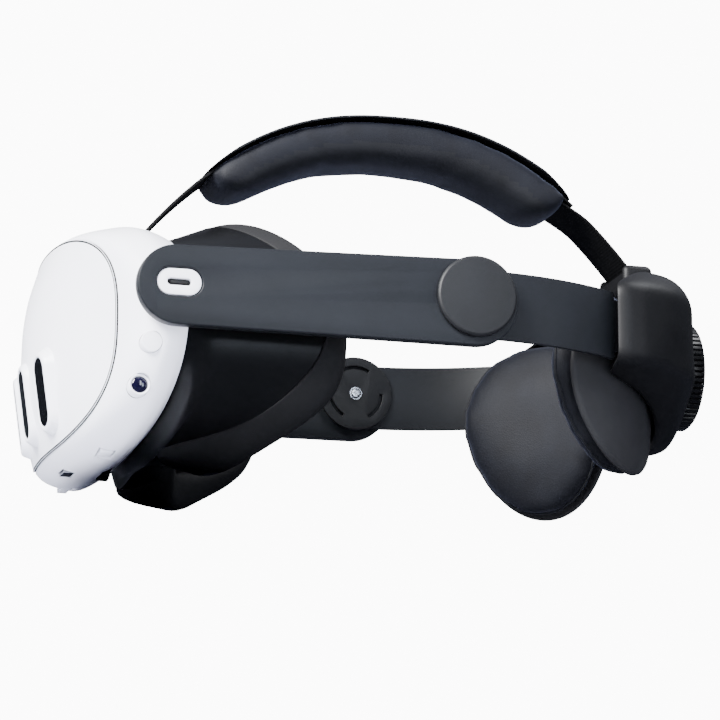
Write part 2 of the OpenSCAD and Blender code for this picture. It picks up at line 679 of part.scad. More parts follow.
// One ring of the soft rim: k from the seam to the face, wall inwards, and how far the bulge
// under each cheek runs forward and down.
function rim_ring(k, wall, ahead, drop) = [
  for (i = [0 : ring_points - 1])
    let (t = 360 * i / ring_points, x0 = face_x(t), z0 = face_z(t))
    let (a = seam_half_w + (face_half_w - seam_half_w) * k - wall)
    let (up = 47.4 + 2 * k - wall, down = 44 + (rim_below - 44) * k - wall)
    let (bulge = cheek(a * x0, z0))
    [a * x0, seam_depth(t) + gap + (rim_depth(t) - seam_depth(t) - gap) * k - ahead * bulge,
     lens_z + (z0 > 0 ? up : down) * z0 + (0.4 + k) * nose(a * x0, z0) - drop * bulge]
];
module face_frame() color(black) difference() {
  hollow_skin(concat(
    [front_skirt_ring(0)], [for (k = [0, 0.3, 0.6, 0.85, 1]) frame_ring(k, 0)],
    [for (k = [1, 0.85, 0.6, 0.3, 0]) frame_ring(k, 3)], [front_skirt_ring(3)]
  ));
  // notch around the lens wheel and its racks
  translate([-40, -131, -60]) cube([80, 12.5, 22]);
}
gasket_rings = [
  rim_ring(0, -0.3, 0, 0), rim_ring(0.02, -0.5, 19, -1.5), rim_ring(0.04, -0.6, 12, 6.5),
  rim_ring(0.08, -0.7, 1, 9), rim_ring(0.4, -1.2, 0, 7.5), rim_ring(0.8, -1.2, 0, 5),
  rim_ring(1, 2, 0, 3), rim_ring(0.95, 8.5, 0, 0), rim_ring(0.5, 8, 0, 0), rim_ring(0, 6, 0, 0)
];
pivot_height = -min([for (r = gasket_rings) for (p = r) p[2]]);
module face_gasket() color(black) hollow_skin(gasket_rings);

place() front_cover();
place() front_shell();
place() window_left();
place() window_middle();
place() window_right();
place() front_cameras();
place() side_camera_left();
place() side_camera_right();
place() side_caps();
place() mid_frame();
place() mainboard();
place() heat_sink();
place() fan_housing();
place() fan_rotor();
place() visor_battery();
place() barrel_left();
place() barrel_right();
place() eye_rack_left();
place() eye_rack_right();
place() display_left();
place() display_right();
place() lens_left();
place() lens_right();
place() ipd_wheel();
place() power_button();
place() volume_rocker();
place() charge_contacts();
place() left_port_insert();
place() right_port_insert();
place() arm_left();
place() arm_right();
place() arm_liner_left();
place() arm_liner_right();
place() speaker_left();
place() speaker_right();
place() pivot_pin_left();
place() pivot_pin_right();
place() pivot_cap_left();
place() pivot_cap_right();
place() strap_loop();
place() frame_screws();
place() face_frame();
place() face_gasket();
place() band_left();
place() band_right();
place() inner_disc_left();
place() inner_disc_right();
place() housing_shell();
place() housing_base();
place() back_plate();
place() back_cushion();
place() housing_screws();
place() dial();
place() dial_pinion();
place() rack_left();
place() rack_right();
place() ratchet_spring();
place() strap_band();
place() top_pad_plate();
place() top_cushion();
place() plate_screws();
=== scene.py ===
"""Standalone head-mounted display: white visor, slate arms, slotted bands, rear dial and padded strap.

Every length below is in millimetres from the line that joins the two side pivots:
X is the wearer's left, Y is back and Z is up. at() turns such a place into the scene's metres.
"""
import json
from math import cos, exp, pi, radians, sin, sqrt

import bmesh
import bpy
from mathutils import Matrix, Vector


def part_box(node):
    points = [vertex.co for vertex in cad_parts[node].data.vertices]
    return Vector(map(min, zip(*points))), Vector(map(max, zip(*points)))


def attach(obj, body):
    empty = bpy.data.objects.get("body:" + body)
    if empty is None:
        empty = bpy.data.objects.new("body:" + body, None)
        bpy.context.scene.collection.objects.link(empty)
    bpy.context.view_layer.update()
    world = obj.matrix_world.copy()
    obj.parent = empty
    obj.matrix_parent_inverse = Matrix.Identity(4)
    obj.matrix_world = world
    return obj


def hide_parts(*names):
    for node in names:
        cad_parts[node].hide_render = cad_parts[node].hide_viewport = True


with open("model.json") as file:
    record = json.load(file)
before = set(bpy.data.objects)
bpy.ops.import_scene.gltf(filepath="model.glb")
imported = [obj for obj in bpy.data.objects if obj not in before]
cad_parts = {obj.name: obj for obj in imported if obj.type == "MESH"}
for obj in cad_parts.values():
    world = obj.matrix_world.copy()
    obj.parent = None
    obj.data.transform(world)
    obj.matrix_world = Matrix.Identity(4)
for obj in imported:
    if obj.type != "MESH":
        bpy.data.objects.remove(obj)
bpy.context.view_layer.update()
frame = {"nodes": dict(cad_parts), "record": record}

MM = 0.001
pin_low, pin_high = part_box("pivot_pin_left")
PIVOT = Vector((0, (pin_low.y + pin_high.y) / 2, (pin_low.z + pin_high.z) / 2))
BODY_OF = {n: b for b, ns in frame["record"]["behaviour"]["bodies"].items() for n in ns}
SLOT_OF = {s["node"]: s["material_slot"] for s in frame["record"]["subparts"]}


def at(x, y, z):
    return PIVOT + Vector((x, y, z)) * MM


def span(node):
    """Lowest and highest corner of a CAD node, in millimetres from the pivot line."""
    low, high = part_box(node)
    return (low - PIVOT) / MM, (high - PIVOT) / MM


# ---------------------------------------------------------------- camera and lights
def make_camera():
    turn, rise = radians(15.6), radians(-13.35)
    towards = Vector((cos(turn) * cos(rise), -sin(turn) * cos(rise), sin(rise)))
    right = Vector((sin(turn), cos(turn), 0))
    up = towards.cross(right)
    aim = PIVOT - right * 19.3 * MM - up * 3.7 * MM
    data = bpy.data.cameras.new("view")
    data.lens = 190.9
    data.clip_end = 20
    camera = bpy.data.objects.new("view", data)
    camera.location = aim + towards * 1.503
    camera.rotation_euler = towards.to_track_quat("Z", "Y").to_euler()
    bpy.context.scene.collection.objects.link(camera)
    bpy.context.scene.camera = camera


def softbox(name, place, size, watts, colour):
    data = bpy.data.lights.new(name, "AREA")
    data.shape = "RECTANGLE"
    data.size, data.size_y = size
    data.energy = watts
    data.color = colour
    lamp = bpy.data.objects.new(name, data)
    lamp.location = place
    lamp.rotation_euler = (place - PIVOT).to_track_quat("Z", "Y").to_euler()
    bpy.context.scene.collection.objects.link(lamp)


# ---------------------------------------------------------------- materials
def linear(hex_colour):
    """sRGB hex to linear RGBA."""
    parts = [int(hex_colour[i:i + 2], 16) / 255 for i in (1, 3, 5)]
    return [c / 12.92 if c <= 0.04045 else ((c + 0.055) / 1.055) ** 2.4 for c in parts] + [1]


def node(tree, kind, links=None, **settings):
    """Adds one node; settings name its attributes or, in capitals, its input sockets."""
    made = tree.nodes.new(kind)
    for key, value in settings.items():
        if hasattr(made, key):
            setattr(made, key, value)
        else:
            made.inputs[key.replace("_", " ")].default_value = value
    for socket, source in (links or {}).items():
        tree.links.new(source, made.inputs[socket])
    return made


def start_material(name, base, roughness, **shader):
    material = bpy.data.materials.new(name)
    material.use_nodes = True
    tree = material.node_tree
    surface = tree.nodes["Principled BSDF"]
    surface.inputs["Base Color"].default_value = linear(base)
    surface.inputs["Roughness"].default_value = roughness
    for key, value in shader.items():
        surface.inputs[key.replace("_", " ")].default_value = value
    place = node(tree, "ShaderNodeTexCoord").outputs["Object"]
    return material, tree, surface, place


def mottle(tree, surface, place, low, high, size_mm):
    """Slight drift of the colour, as in moulded resin."""
    drift = node(tree, "ShaderNodeTexNoise", {"Vector": place}, Scale=1 / (size_mm * MM), Detail=3.0)
    ramp = node(tree, "ShaderNodeValToRGB", {"Fac": drift.outputs["Fac"]})
    ramp.color_ramp.elements[0].color = linear(low)
    ramp.color_ramp.elements[1].color = linear(high)
    ramp.color_ramp.elements[0].position = 0.3
    ramp.color_ramp.elements[1].position = 0.7
    tree.links.new(ramp.outputs["Color"], surface.inputs["Base Color"])


def grain(tree, surface, place, size_mm, depth_mm, strength):
    """Fine texture of a mould or a coating, cut into the surface as bump."""
    fine = node(tree, "ShaderNodeTexNoise", {"Vector": place}, Scale=1 / (size_mm * MM), Detail=2.0)
    bump = node(tree, "ShaderNodeBump", {"Height": fine.outputs["Fac"]},
                Strength=strength, Distance=depth_mm * MM)
    tree.links.new(bump.outputs["Normal"], surface.inputs["Normal"])


def white_abs():
    """ABS, injection moulded and satin painted: soft wide highlight, cool white."""
    material, tree, surface, place = start_material("white_painted_abs", "#EDEEF3", 0.42, IOR=1.5)
    mottle(tree, surface, place, "#EBECF2", "#F1F1F5", 60)
    grain(tree, surface, place, 0.6, 0.02, 0.15)
    surface.inputs["Coat Weight"].default_value = 0.25
    surface.inputs["Coat Roughness"].default_value = 0.2
    return material


def moulded(name, low, high, roughness, grain_mm, grain_depth, coat=0.0, shine=0.35):
    """Dark moulded resin: the grain sets how matte it reads."""
    material, tree, surface, place = start_material(name, low, roughness, IOR=1.5)
    mottle(tree, surface, place, low, high, 25)
    grain(tree, surface, place, grain_mm, grain_depth, 0.5)
    surface.inputs["Coat Weight"].default_value = coat
    surface.inputs["Coat Roughness"].default_value = 0.3
    surface.inputs["Specular IOR Level"].default_value = shine
    return material


def leatherette(name, low, high, cell_mm, roughness):
    """Coated leather cloth: small pebbled cells with fine creases, a little sheen at grazing angles."""
    material, tree, surface, place = start_material(name, low, roughness, IOR=1.48)
    mottle(tree, surface, place, low, high, 12)
    cells = node(tree, "ShaderNodeTexVoronoi", {"Vector": place},
                 feature="DISTANCE_TO_EDGE", Scale=1 / (cell_mm * MM))
    pebble = node(tree, "ShaderNodeMapRange", {"Value": cells.outputs["Distance"]})
    pebble.inputs["From Max"].default_value = 0.28
    fine = node(tree, "ShaderNodeTexNoise", {"Vector": place}, Scale=1 / (0.5 * MM), Detail=4.0)
    both = node(tree, "ShaderNodeMath", {0: pebble.outputs["Result"], 1: fine.outputs["Fac"]}, operation="ADD")
    bump = node(tree, "ShaderNodeBump", {"Height": both.outputs[0]}, Strength=0.45, Distance=0.06 * MM)
    tree.links.new(bump.outputs["Normal"], surface.inputs["Normal"])
    surface.inputs["Specular IOR Level"].default_value = 0.25
    surface.inputs["Sheen Weight"].default_value = 0.2
    surface.inputs["Sheen Roughness"].default_value = 0.4
    surface.inputs["Sheen Tint"].default_value = linear("#8E97B5")
    return material


def webbing():
    """Woven nylon strap: fine ribs across its width, low sheen."""
    material, tree, surface, place = start_material("nylon_webbing", "#060607", 0.6)
    surface.inputs["Specular IOR Level"].default_value = 0.2
    ribs = node(tree, "ShaderNodeTexWave", {"Vector": place},
                bands_direction="Y", Scale=1 / (2.4 * MM), Distortion=0.4)
    bump = node(tree, "ShaderNodeBump", {"Height": ribs.outputs["Fac"]}, Strength=0.4, Distance=0.15 * MM)
    tree.links.new(bump.outputs["Normal"], surface.inputs["Normal"])
    return material


def metal(name, base, roughness):
    """Turned steel: fine brushing that blurs the highlight."""
    material, tree, surface, place = start_material(name, base, roughness, Metallic=1.0)
    grain(tree, surface, place, 0.4, 0.01, 0.3)
    return material


def glossy(name, base, roughness, coat=1.0):
    """Polished tinted glass or resin: near black with a clear top coat."""
    material, tree, surface, place = start_material(name, base, roughness, IOR=1.52)
    mottle(tree, surface, place, base, base, 10)
    surface.inputs["Coat Weight"].default_value = coat
    surface.inputs["Coat Roughness"].default_value = 0.03
    return material


def camera_lens():
    """Coated camera lens: black with a violet bloom of the coating."""
    return glossy("coated_camera_lens", "#07051A", 0.12, coat=0.4)


def lens_glass():
    """Clear moulded lens: thin, slightly blue."""
    material, tree, surface, place = start_material("clear_lens", "#DDE6F0", 0.03, IOR=1.49)
    mottle(tree, surface, place, "#D8E2EE", "#E2E9F2", 30)
    surface.inputs["Transmission Weight"].default_value = 0.85
    return material


WHITE = white_abs()
SLATE = moulded("slate_satin_abs", "#15171A", "#181A1E", 0.44, 0.35, 0.02, shine=0.22)
SATIN_BLACK = moulded("satin_black_abs", "#050506", "#070708", 0.3, 0.4, 0.015, coat=0.05)
CHARCOAL = moulded("matte_charcoal_nylon", "#111214", "#141518", 0.52, 0.5, 0.05)
PLATE_GREY = moulded("matte_grey_nylon", "#1D1D1F", "#222224", 0.6, 0.5, 0.05)
HOUSING_BLACK = moulded("soft_touch_black", "#0B0B0D", "#0E0E10", 0.5, 0.5, 0.04, shine=0.25)
FOAM = moulded("skin_foam", "#0C0C0E", "#0F0F12", 0.75, 0.8, 0.08)
HIDE = leatherette("navy_leatherette", "#0B0C12", "#0F1118", 0.9, 0.66)
SMOOTH_HIDE = leatherette("smooth_leatherette", "#101114", "#15161A", 0.8, 0.62)
NYLON = webbing()
DARK_STEEL = metal("blackened_steel", "#3A3B3E", 0.35)
STEEL = metal("turned_steel", "#C9CBD0", 0.25)
WINDOW = glossy("black_window_glass", "#050507", 0.08)
CAMERA_GLASS = camera_lens()
LENS = lens_glass()
BOARD = glossy("coated_circuit_board", "#0D3A24", 0.35, coat=0.4)
SCREEN = glossy("display_glass", "#08090C", 0.1)
# near black standing for the shade deep in the visor seam and the charging inlet: painted shade, not a rubber
# part
PAINTED_GAP_SHADE = moulded("painted_gap_shade", "#050506", "#070708", 0.7, 0.6, 0.02)


# ---------------------------------------------------------------- modelling helpers
def new_piece(name, points, faces):
    mesh = bpy.data.meshes.new(name)
    mesh.from_pydata([tuple(at(*p)) for p in points], [], faces)
    piece = bpy.data.objects.new(name, mesh)
    bpy.context.scene.collection.objects.link(piece)
    return piece


def only(piece):
    bpy.ops.object.select_all(action="DESELECT")
    piece.select_set(True)
    bpy.context.view_layer.objects.active = piece


def outwards(piece):
    work = bmesh.new()
    work.from_mesh(piece.data)
    bmesh.ops.remove_doubles(work, verts=work.verts, dist=0.00001)
    bmesh.ops.recalc_face_normals(work, faces=work.faces)
    work.to_mesh(piece.data)
    work.free()


def modifier(piece, kind, **settings):
    """Adds a modifier with its settings and applies it."""
    only(piece)
    added = piece.modifiers.new(kind.lower(), kind)
    for key, value in settings.items():
        setattr(added, key, value)
    bpy.ops.object.modifier_apply(modifier=added.name)


def settle(piece, body, slot, material, *stands_for, angle=None):
    """Last steps of every piece: its shading, finish, body and the CAD nodes it stands for."""
    only(piece)
    bpy.ops.object.transform_apply(location=True, rotation=True, scale=True)
    if angle is None:
        bpy.ops.object.shade_smooth()
    else:
        bpy.ops.object.shade_smooth_by_angle(angle=radians(angle))
    if not piece.data.materials:
        piece.data.materials.append(material)
    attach(piece, body)
    if stands_for:
        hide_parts(*stands_for)
    return piece


def loft(name, rings, closed=True, cap=False):
    """Skin over rings of equal length; closed joins the last ring to the first, cap fills both ends."""
    count = len(rings[0])
    points = [p for r in rings for p in r]
    faces = []
    for i in range(len(rings) if closed else len(rings) - 1):
        a, b = i * count, ((i + 1) % len(rings)) * count
        for j in range(count):
            k = (j + 1) % count
            faces.append((a + j, a + k, b + k, b + j))
    if cap:
        faces.append(tuple(range(count)))
        last = (len(rings) - 1) * count
        faces.append(tuple(range(last + count - 1, last - 1, -1)))
    piece = new_piece(name, points, faces)
    outwards(piece)
    return piece


def even(points, count):
    """Moves the points of a closed ring so that they are evenly spaced along it."""
    reach = [0.0]
    for a, b in zip(points, points[1:] + points[:1]):
        reach.append(reach[-1] + sqrt((a[0] - b[0]) ** 2 + (a[2] - b[2]) ** 2))
    spaced, i = [], 0
    for j in range(count):
        goal = reach[-1] * j / count
        while reach[i + 1] < goal:
            i += 1
        share = (goal - reach[i]) / max(1e-9, reach[i + 1] - reach[i])
        a, b = points[i], points[(i + 1) % len(points)]
        spaced.append(tuple(p + (q - p) * share for p, q in zip(a, b)))
    return spaced


def along(rows, t):
    """Smooth value between rows of numbers at t, which runs from 0 to len(rows) - 1."""
    i = min(int(t), len(rows) - 2)
    u = t - i
    p = [rows[max(0, min(len(rows) - 1, i + k))] for k in (-1, 0, 1, 2)]
    return [0.5 * (2 * b + (c - a) * u + (2 * a - 5 * b + 4 * c - d) * u * u + (3 * b - a - 3 * c + d) * u ** 3)
            for a, b, c, d in zip(*p)]


def power(v, p):
    """v to the power p with the sign of v kept."""
    return (abs(v) ** p) * (1 if v >= 0 else -1)


def circle(count):
    """Angles of evenly spaced places round a circle."""
    return [2 * pi * k / count for k in range(count)]


def bevel(piece, width, segments, angle):
    """Breaks the edges that are sharper than an angle in degrees."""
    modifier(piece, "BEVEL", width=width * MM, segments=segments, limit_method="ANGLE",
             angle_limit=radians(angle))


def tube(name, path, radius, sides=10, closed=False):
    """Round cord along a path."""
    rings = []
    total = len(path)
    for i, p in enumerate(path):
        before = path[(i - 1) % total] if closed or i else path[0]
        after = path[(i + 1) % total] if closed or i < total - 1 else path[-1]
        run = (Vector(after) - Vector(before)).normalized()
        side = run.cross(Vector((0.3, 0.2, 1))).normalized()
        over = side.cross(run)
        rings.append([tuple(Vector(p) + (side * cos(a) + over * sin(a)) * radius)
                      for a in circle(sides)])
    return loft(name, rings, closed=closed, cap=not closed)


def soft_edged(name, source, width, material, angle=30):
    """A CAD node's own shape with its edges broken, as moulding leaves them."""
    original = frame["nodes"][source]
    piece = original.copy()
    piece.data = original.data.copy()
    piece.name = name
    for key in list(piece.keys()):
        del piece[key]
    piece.parent = None
    piece.hide_render = piece.hide_viewport = False
    bpy.context.scene.collection.objects.link(piece)
    outwards(piece)
    modifier(piece, "DECIMATE", decimate_type="DISSOLVE", angle_limit=radians(1))
    modifier(piece, "BEVEL", width=width * MM, segments=3, limit_method="ANGLE", angle_limit=radians(angle),
             use_clamp_overlap=True, harden_normals=False)
    piece.data.materials.clear()
    return settle(piece, BODY_OF[source], SLOT_OF[source], material, source, angle=35)


# ---------------------------------------------------------------- white visor
VISOR_W, VISOR_H = 84, 46
SEAM_Y = -144.6
# points of an outline while it is drawn, and once it is evenly stepped
OUTLINE, RING = 720, 160
# y, half width, half height, centre height, squareness, how far the sides bend back
SHELL = [
    (SEAM_Y, VISOR_W - 14, VISOR_H - 5.2, -12.2, 2.8, 13.5),
    (-141, VISOR_W - 8, VISOR_H - 3.2, -12.5, 2.7, 12.6),
    (-135, VISOR_W - 3, VISOR_H - 1.4, -12.7, 2.6, 11),
    (-126, VISOR_W, VISOR_H, -12.4, 2.5, 8.5),
    (-118, VISOR_W - 0.8, VISOR_H - 2.4, -10.8, 2.4, 6),
    (-113, VISOR_W - 3, VISOR_H - 6, -9, 2.35, 5),
]
COVER = [
    (-153.3, 1, 0.5, -13, 2, 0),
    (-153.2, VISOR_W - 74, VISOR_H - 41, -13, 2, 0.5),
    (-152.5, VISOR_W - 57, VISOR_H - 31, -13, 2.2, 3.5),
    (-150.7, VISOR_W - 40, VISOR_H - 21, -12.8, 2.4, 7.5),
    (-148, VISOR_W - 25, VISOR_H - 12.4, -12.5, 2.6, 11.2),
    (SEAM_Y - 1.1, VISOR_W - 14.8, VISOR_H - 6, -12.2, 2.8, 13.5),
]


def visor_ring(row, inset=0.0, back=0.0):
    y, a, b, z0, n, sag = row
    a, b = max(0.2, a - inset), max(0.2, b - inset)
    points = []
    for t in circle(OUTLINE):
        x, z = a * power(cos(t), 2 / n), b * power(sin(t), 2 / n)
        points.append((x, y + back + sag * (x / a) ** 2, z0 + z))
    return even(points, RING)


CAM_Y, CAM_Z, DISH_R, DISH_DEPTH = -124.3, -38, 8.5, 0.9
CAP_Y, CAP_Z = -121.7, -23.4
# openings of the shell, each from its lowest to its highest corner
WHEEL_SLOT = ((-11, -124.4, -64), (11, -119, -48))
POWER_SLOT = ((30.4, -131.7, -62), (39.6, -125.3, -46))
VOLUME_SLOT = ((-45.7, -131.6, -62), (-24.3, -126.7, -46))
CONTACT_SLOT = ((-4.6, -138.6, -62), (4.6, -133.4, -50))
LOOP_SLOT = ((-13.5, -121, 24), (13.5, -111, 38))
ARM_ROOTS = (((70, -124, -11), (95, -100, 4.6)), ((-95, -124, -11), (-70, -100, 4.6)))


def dished(point):
    """Presses a shallow dish round each side camera."""
    x, y, z = point
    if abs(x) < 55:
        return point
    d = sqrt((y - CAM_Y) ** 2 + (z - CAM_Z) ** 2)
    if d < DISH_R:
        x -= (1 if x > 0 else -1) * DISH_DEPTH * (0.5 + 0.5 * cos(pi * d / DISH_R))
    return x, y, z


def make_shell():
    steps = 30
    outer = [visor_ring(along(SHELL, 5 * i / steps)) for i in range(steps + 1)]
    lip = [visor_ring(SHELL[5], 0.35, 0.45), visor_ring(SHELL[5], 1.0, 0.65), visor_ring(SHELL[5], 1.65, 0.45)]
    inner = [visor_ring(along(SHELL, 5 * i / 8), 2) for i in range(8, -1, -1)]
    front = [visor_ring(SHELL[0], 1.4, -0.2), visor_ring(SHELL[0], 0.8, -0.3), visor_ring(SHELL[0], 0.3, -0.2)]
    rings = [[dished(p) for p in r] for r in outer] + lip + inner + front
    shell = loft("visor_shell", rings)
    cutters = []
    for low, high in (WHEEL_SLOT, POWER_SLOT, VOLUME_SLOT, CONTACT_SLOT, LOOP_SLOT, *ARM_ROOTS):
        cutters.append(block("cutter", low, high))
    for side in (1, -1):
        cutters.append(rod("cutter", (side * 72, CAM_Y, CAM_Z), (side, 0, 0), 4.1, 22))
        cutters.append(rod("cutter", (side * 76, CAP_Y, CAP_Z), (side, 0, 0), 4.05, 22))
    carve(shell, cutters)
    settle(shell, "visor", "white_shell", WHITE, "front_shell", angle=40)


def block(name, low, high):
    centre = [(a + b) / 2 for a, b in zip(low, high)]
    bpy.ops.mesh.primitive_cube_add(size=1, location=at(*centre))
    made = bpy.context.active_object
    made.name = name
    made.scale = [(b - a) * MM for a, b in zip(low, high)]
    bpy.ops.object.transform_apply(location=True, rotation=True, scale=True)
    return made


def rod(name, centre, axis, radius, length, vertices=64):
    turn = Vector(axis).to_track_quat("Z", "Y").to_euler()
    bpy.ops.mesh.primitive_cylinder_add(vertices=vertices, radius=radius * MM, depth=length * MM,
                                        location=at(*centre), rotation=turn)
    made = bpy.context.active_object
    made.name = name
    bpy.ops.object.transform_apply(location=True, rotation=True, scale=True)
    return made


def carve(piece, cutters):
    for cutter in cutters:
        modifier(piece, "BOOLEAN", operation="DIFFERENCE", solver="EXACT", object=cutter)
        bpy.data.objects.remove(cutter)


def make_cover():
    steps = 40
    outer = [visor_ring(along(COVER, 5 * (i / steps))) for i in range(steps + 1)]
    edge = [visor_ring(COVER[5], 0.3, 0.35), visor_ring(COVER[5], 1.0, 0.5)]
    inner = [visor_ring(along(COVER, 5 * i / 10), 2, 2) for i in range(10, 0, -1)]
    cover = loft("visor_cover", outer + edge + inner, closed=False, cap=True)
    carve(cover, [pill_prism("cutter", i, GLASS_W, GLASS_H, -8, 12) for i in (-1, 0, 1)])
    settle(cover, "visor", "white_shell", WHITE, "front_cover", angle=40)
    # near-black strip inside the seam between cover and shell: painted shade of the gap, not a gasket
    section = ((1.0, -1.4), (1.0, 0.5), (2.1, 0.5), (2.1, -1.4))
    strip = [visor_ring(SHELL[0], inset, back) for inset, back in section]
    seam = loft("visor_seam_shade_strip", strip)
    settle(seam, "visor", "black_satin", PAINTED_GAP_SHADE, angle=40)


# ---- tracking windows
WINDOW_PITCH, GLASS_W, GLASS_H = 23.5, 9.2, 26.4
WINDOW_Z, WINDOW_Y, WINDOW_TILT = -31.2, -153.05, radians(8)
# how far each outer window is turned outwards, and set back
OUTER_TURN, OUTER_BACK = radians(9), 2.1


def window_place(i, u, v, out):
    """Place on window i: u across, v up, out ahead of its glass."""
    turn = OUTER_TURN * i
    x, y = u * cos(turn) + out * sin(turn), u * sin(turn) - out * cos(turn)
    return (i * WINDOW_PITCH + x, WINDOW_Y + OUTER_BACK * i * i + y * cos(WINDOW_TILT) - v * sin(WINDOW_TILT),
            WINDOW_Z + y * sin(WINDOW_TILT) + v * cos(WINDOW_TILT))


def pill_outline(width, height, count=64):
    """Upright pill, evenly stepped round its two ends."""
    r, rise = width / 2, (height - width) / 2
    half = count // 2
    top = [(r * cos(pi * k / (half - 1)), rise + r * sin(pi * k / (half - 1))) for k in range(half)]
    return top + [(-u, -v) for u, v in top]


def pill_prism(name, i, width, height, back, length):
    rings = [[window_place(i, u, v, back + d) for u, v in pill_outline(width, height)] for d in (0, length)]
    return loft(name, rings, closed=False, cap=True)


def window_ring(i, wide, out):
    """Ring round window i, wide outside its glass and out ahead of it."""
    return [window_place(i, u, v, out) for u, v in pill_outline(GLASS_W + 2 * wide, GLASS_H + 2 * wide, 96)]


def make_window(i, side):
    """Soft raised rim round one dark glass, and the glass itself with a slight crown."""
    # how far outside the glass, and how far ahead of it
    section = [(4.4, -4.5), (3.2, -2.6), (2.5, -1.2), (2.0, -0.3), (1.5, 0.15), (1.0, 0.32), (0.5, 0.34),
               (0.15, 0.25), (0.02, 0.0), (0.0, -2.5)]
    rim = loft("window_rim_" + side, [window_ring(i, wide, out) for wide, out in section], closed=False)
    settle(rim, "visor", "white_shell", WHITE)
    inset = [(0.05, -1.6), (0.05, 0.02), (0.2, 0.16), (0.6, 0.2), (1.6, 0.22), (3, 0.23), (4.3, 0.23)]
    rings = [window_ring(i, -wide, out) for wide, out in inset]
    glass = loft("window_glass_" + side, rings, closed=False, cap=True)
    settle(glass, "visor", "black_glass", WINDOW, "window_" + side, angle=50)


def turned(name, side, section, closed=True):
    """Turned piece about a side camera's axis from (radius, distance) pairs."""
    rings = [[(side * x, CAM_Y + r * cos(a), CAM_Z + r * sin(a)) for a in circle(64)] for r, x in section]
    return loft(name, rings, closed=closed, cap=not closed)


def make_side_cameras():
    for side, name in ((1, "left"), (-1, "right")):
        # radius and distance from the middle plane: seat, dark barrel and the crown of the glass
        barrel = [(3.95, 70), (3.95, 75.1), (3.8, 75.3), (3.5, 75.3), (3.25, 75.1), (3.1, 74.7), (3.1, 70)]
        ring = turned("side_camera_barrel_" + name, side, barrel)
        settle(ring, "visor", "white_shell", WHITE, angle=40)
        dome = [(3.05, 71), (3.05, 74.7), (2.75, 74.95), (2.2, 75.15), (1.5, 75.3), (0.8, 75.38), (0.2, 75.4)]
        glass = turned("side_camera_glass_" + name, side, dome, closed=False)
        settle(glass, "visor", "black_glass", CAMERA_GLASS, "side_camera_" + name, angle=40)
    soft_edged("side_buttons", "side_caps", 0.3, WHITE)


# ---------------------------------------------------------------- face interface
SEAM_HALF_W, FACE_HALF_W, FACE_DROP, LENS_Z = 75, 73, 50, -9


def seam_depth(t):
    """Depth of the seam between frame and gasket, at an angle round the face."""
    return -54 - 35 * sin(t) ** 1.6 if sin(t) > 0 else -54 - 44 * (-sin(t)) ** 1.5


def rim_depth(t):
    """Depth of the gasket's rear edge, at an angle round the face."""
    return -45 - 33 * sin(t) ** 1.8 if sin(t) > 0 else -45 - 46 * (-sin(t)) ** 2.9


def flare(k):
    """How far the frame has opened out behind the shell, 0 to 1."""
    q = min(1, 4.5 * k)
    return q * q * (3 - 2 * q)


def face_x(t, k=1.0):
    return power(cos(t), 0.85 if sin(t) > 0 else 0.86 - 0.18 * flare(k))


def face_z(t, k=1.0):
    return power(sin(t), 1 if sin(t) > 0 else 0.86 - 0.18 * flare(k))


def nose(x, z):
    """Rise of the lower edge over the nose."""
    return 14 * exp(-((x / 15) ** 2)) * min(1, z * z * 4) if z < 0 else 0


def cheek(x, z):
    """Bulge under each cheek: it fades before the nose and before the side wall."""
    if z >= 0:
        return 0
    width = 17 if abs(x) < 40 else 14
    return min(1, 1.3 * z * z) * exp(-(((abs(x) - 40) / width) ** 2))


def frame_ring(k, wall=0.0, front=None):
    points = []
    for t in circle(OUTLINE):
        x0, z0 = face_x(t, k), face_z(t, k)
        a = 78.2 + (SEAM_HALF_W - 78.2) * k - wall
        tall = 37.4 + (10.6 * k if z0 > 0 else 10.2 * flare(k)) - wall
        start = -113 + 5 * x0 * x0
        y = start + (seam_depth(t) - start) * k if front is None else front + 5 * x0 * x0
        points.append((a * x0, y, LENS_Z + tall * z0 + 0.4 * k * nose(a * x0, z0)))
    return even(points, RING)


def rim_ring(k, wall, ahead=0.0, drop=0.0, back=0.0):
    points = []
    for t in circle(OUTLINE):
        x0, z0 = face_x(t), face_z(t)
        a = SEAM_HALF_W + (FACE_HALF_W - SEAM_HALF_W) * k - wall
        tall = (47.4 + 2 * k if z0 > 0 else 47 + (FACE_DROP - 47) * k) - wall
        bulge = cheek(a * x0, z0)
        y = seam_depth(t) + 0.4 + (rim_depth(t) - seam_depth(t) - 0.4) * k - ahead * bulge + back
        points.append((a * x0, y, LENS_Z + tall * z0 + (0.4 + k) * nose(a * x0, z0) - drop * bulge))
    return even(points, RING)


